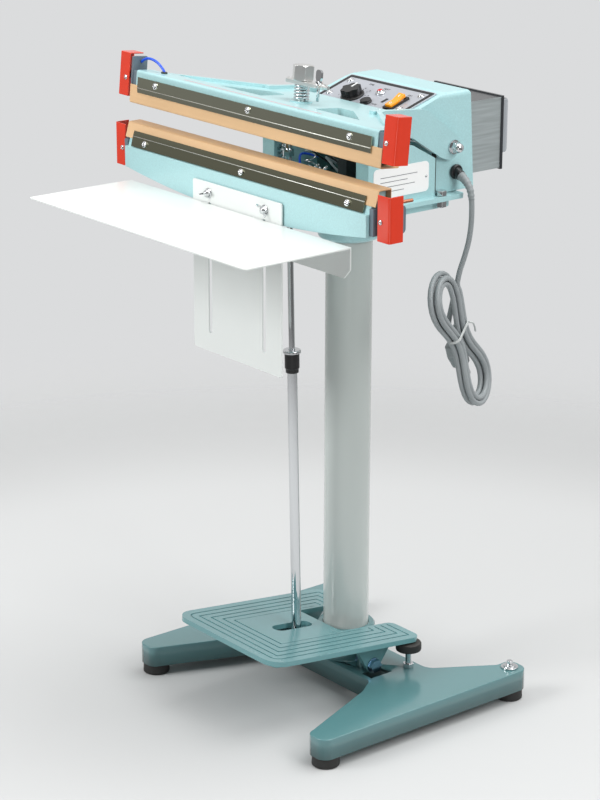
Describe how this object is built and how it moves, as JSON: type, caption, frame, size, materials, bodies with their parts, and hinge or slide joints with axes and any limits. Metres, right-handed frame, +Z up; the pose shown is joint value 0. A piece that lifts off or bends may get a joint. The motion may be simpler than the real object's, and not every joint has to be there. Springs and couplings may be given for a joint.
{
  "type": "foot-operated impulse heat sealer",
  "caption": "Free-standing impulse heat sealer with hinged jaws, control housing and work table on a column, worked by a foot pedal and pull rod.",
  "frame": {"origin": "middle of the bounding box in plan, on the floor under the rubber feet", "axes": "+Z up, +X to the right of the operator, -Y towards the operator, so the jaws and the table face -Y"},
  "size_m": [0.54, 0.556, 0.841],
  "materials": {
    "base_paint": "hammered gloss enamel, mid teal",
    "rubber": "matt moulded rubber",
    "chrome": "bright plated",
    "column_paint": "smooth gloss enamel, pale grey",
    "head_paint": "hammered gloss enamel, pale aqua",
    "ptfe_cloth": "fluoropolymer coated glass cloth, satin",
    "element_steel": "rolled resistance strip",
    "strip_steel": "polished stainless strip",
    "red_plastic": "semi gloss, red",
    "insulator": "laminated insulating board",
    "panel_steel": "brushed and printed sheet",
    "black_plastic": "moulded, satin black",
    "amber_plastic": "translucent amber, glossy",
    "black_steel": "satin black varnish",
    "circuit_board": "green lacquered board",
    "spring_steel": "zinc plated",
    "blue_plastic": "soft wire insulation, blue",
    "shelf_paint": "smooth gloss enamel, white",
    "cord_grey": "soft grey sheath"
  },
  "bodies": {
    "stand": {"base_casting": "base_paint", "rubber_foot_front_left": "rubber", "rubber_foot_front_right": "rubber", "rubber_foot_rear_left": "rubber", "rubber_foot_rear_right": "rubber", "pedal_buffer_left": "rubber", "pedal_buffer_right": "rubber", "pedal_bolt_left": "chrome", "pedal_bolt_right": "chrome", "head_bolt_left": "chrome", "head_bolt_right": "chrome", "indicator_lamp": "chrome", "pivot_shaft": "chrome", "column_tube": "column_paint", "head_saddle": "head_paint", "head_base": "head_paint", "lower_jaw": "head_paint", "control_housing": "head_paint", "lower_seal_cover": "ptfe_cloth", "lower_element": "element_steel", "lower_cover_strip": "strip_steel", "lower_cap_left": "red_plastic", "lower_cap_right": "red_plastic", "lower_end_plate_left": "insulator", "lower_end_plate_right": "insulator", "control_panel": "panel_steel", "limit_switch": "black_plastic", "cord_gland": "black_plastic", "transformer_core": "black_steel", "transformer_bell": "black_steel", "timer_board": "circuit_board", "return_spring": "spring_steel", "table_backplate": "shelf_paint", "cord_lead": "cord_grey", "cord_hank": "cord_grey", "cord_plug": "cord_grey"},
    "arm": {"upper_arm": "head_paint", "upper_seal_cover": "ptfe_cloth", "upper_cover_strip": "strip_steel", "upper_cap_left": "red_plastic", "upper_cap_right": "red_plastic", "upper_end_plate_left": "insulator", "upper_end_plate_right": "insulator", "upper_element": "element_steel", "pressure_spring": "chrome", "bridge_bar": "chrome", "jumper_wire": "blue_plastic"},
    "pressure_nut_body": {"pressure_nut": "chrome"},
    "thumb_screw_body": {"thumb_screw": "chrome"},
    "pedal": {"foot_pedal": "base_paint"},
    "pull_rod": {"lower_pull_tube": "chrome", "rod_collar": "black_plastic", "upper_pull_rod": "chrome"},
    "timer_knob_body": {"timer_knob": "black_plastic"},
    "rocker_body": {"rocker_switch": "amber_plastic"},
    "fuse_cap_body": {"fuse_cap": "black_plastic"},
    "shelf": {"table_shelf": "shelf_paint", "shelf_clamp": "spring_steel"},
    "wing_bolt_left_body": {"wing_bolt_left": "chrome"},
    "wing_bolt_right_body": {"wing_bolt_right": "chrome"}
  },
  "joints": [
    {"name": "arm_hinge", "type": "hinge", "parent": "stand", "child": "arm", "pos_m": [0, 0.138, 0.735], "axis": [1, 0, 0], "range_deg": [0, 5.6], "stiffness_Nm_per_rad": 20, "springref_deg": -51.57, "deforming": ["return_spring"]},
    {"name": "pedal_hinge", "type": "hinge", "parent": "stand", "child": "pedal", "pos_m": [0, 0.044, 0.05], "axis": [1, 0, 0], "range_deg": [0, 13.89]},
    {"name": "rod_slide", "type": "slide", "parent": "stand", "child": "pull_rod", "axis": [0, -0.1351, -0.9908], "range_m": [0, 0.01779]},
    {"name": "shelf_slide", "type": "slide", "parent": "stand", "child": "shelf", "axis": [0, 0, 1], "range_m": [-0.14, 0]},
    {"name": "wing_bolt_left_turn", "type": "hinge", "parent": "stand", "child": "wing_bolt_left_body", "pos_m": [-0.056, -0.121, 0.6845], "axis": [0, 1, 0], "continuous": true},
    {"name": "wing_bolt_right_turn", "type": "hinge", "parent": "stand", "child": "wing_bolt_right_body", "pos_m": [0.056, -0.121, 0.6845], "axis": [0, 1, 0], "continuous": true},
    {"name": "pressure_nut_turn", "type": "hinge", "parent": "arm", "child": "pressure_nut_body", "pos_m": [0, -0.01838, 0.81564], "axis": [0, 0.0976, 0.9952], "continuous": true},
    {"name": "thumb_screw_turn", "type": "hinge", "parent": "arm", "child": "thumb_screw_body", "pos_m": [0.031, -0.01838, 0.81564], "axis": [0, 0.0976, 0.9952], "continuous": true},
    {"name": "timer_knob_turn", "type": "hinge", "parent": "stand", "child": "timer_knob_body", "pos_m": [-0.027, 0.08502, 0.78506], "axis": [0, -0.3097, 0.9508], "range_deg": [-120, 150]},
    {"name": "rocker_tip", "type": "hinge", "parent": "stand", "child": "rocker_body", "pos_m": [0.051, 0.08872, 0.78984], "axis": [1, 0, 0], "range_deg": [-16, 0]},
    {"name": "fuse_cap_turn", "type": "hinge", "parent": "stand", "child": "fuse_cap_body", "pos_m": [0.007, 0.07837, 0.78289], "axis": [0, -0.3097, 0.9508], "range_deg": [0, 90]}
  ],
  "couplings": [
    {"joint": "pedal_hinge", "follows": "arm_hinge", "ratio": 2.477},
    {"joint": "rod_slide", "follows": "arm_hinge", "m_per_rad": 0.18174}
  ]
}
